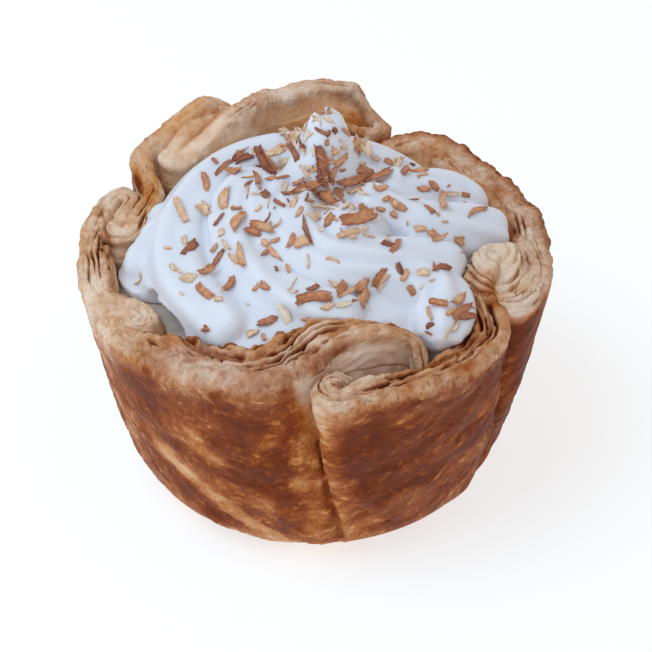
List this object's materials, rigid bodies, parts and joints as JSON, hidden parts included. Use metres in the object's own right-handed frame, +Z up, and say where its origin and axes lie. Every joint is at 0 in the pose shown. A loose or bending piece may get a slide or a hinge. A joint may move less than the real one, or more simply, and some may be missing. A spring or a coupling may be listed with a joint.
{
  "type": "cream pie",
  "caption": "Deep single-serving pie: a folded puff-pastry cup of custard under a piped swirl of cream with toasted coconut flakes.",
  "frame": {"origin": "middle of the flat underside, where the pie stands", "axes": "+Z up out of the cup, +Y from the side with the deepest pastry fold to the side with the tallest rim"},
  "size_m": [0.0956, 0.0957, 0.0758],
  "materials": {
    "pastry": "matte",
    "custard": "satin",
    "cream": "satin"
  },
  "bodies": {
    "root": {"crust": "pastry", "custard": "custard", "cream": "cream"}
  },
  "joints": []
}
